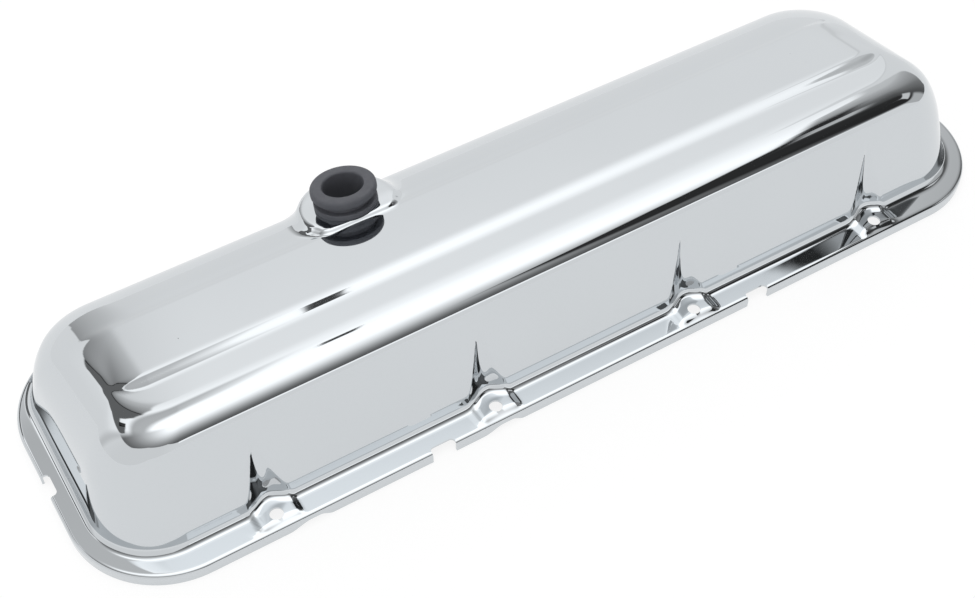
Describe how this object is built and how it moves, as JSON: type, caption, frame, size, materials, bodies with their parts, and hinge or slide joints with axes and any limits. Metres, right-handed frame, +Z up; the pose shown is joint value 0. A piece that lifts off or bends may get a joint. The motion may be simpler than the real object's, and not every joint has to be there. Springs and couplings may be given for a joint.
{
  "type": "engine valve cover",
  "caption": "Long chromed sheet-steel engine valve cover with a turned-down rail, bolt pockets along both sides, a raised deck panel and a rubber breather grommet.",
  "frame": {"origin": "middle of the rail, level with the lower edge of the turned-down lip", "axes": "+X along the cover's length, +Y from the exhaust side to the intake side, +Z up out of the deck"},
  "size_m": [0.5452, 0.1624, 0.0702],
  "materials": {
    "cover_chrome": "bright chrome plate, mirror smooth",
    "grommet_rubber": "matte moulded rubber",
    "baffle_steel": "plain plated sheet, dull"
  },
  "bodies": {
    "root": {"valve_cover": "cover_chrome", "breather_grommet": "grommet_rubber", "oil_baffle": "baffle_steel"}
  },
  "joints": []
}
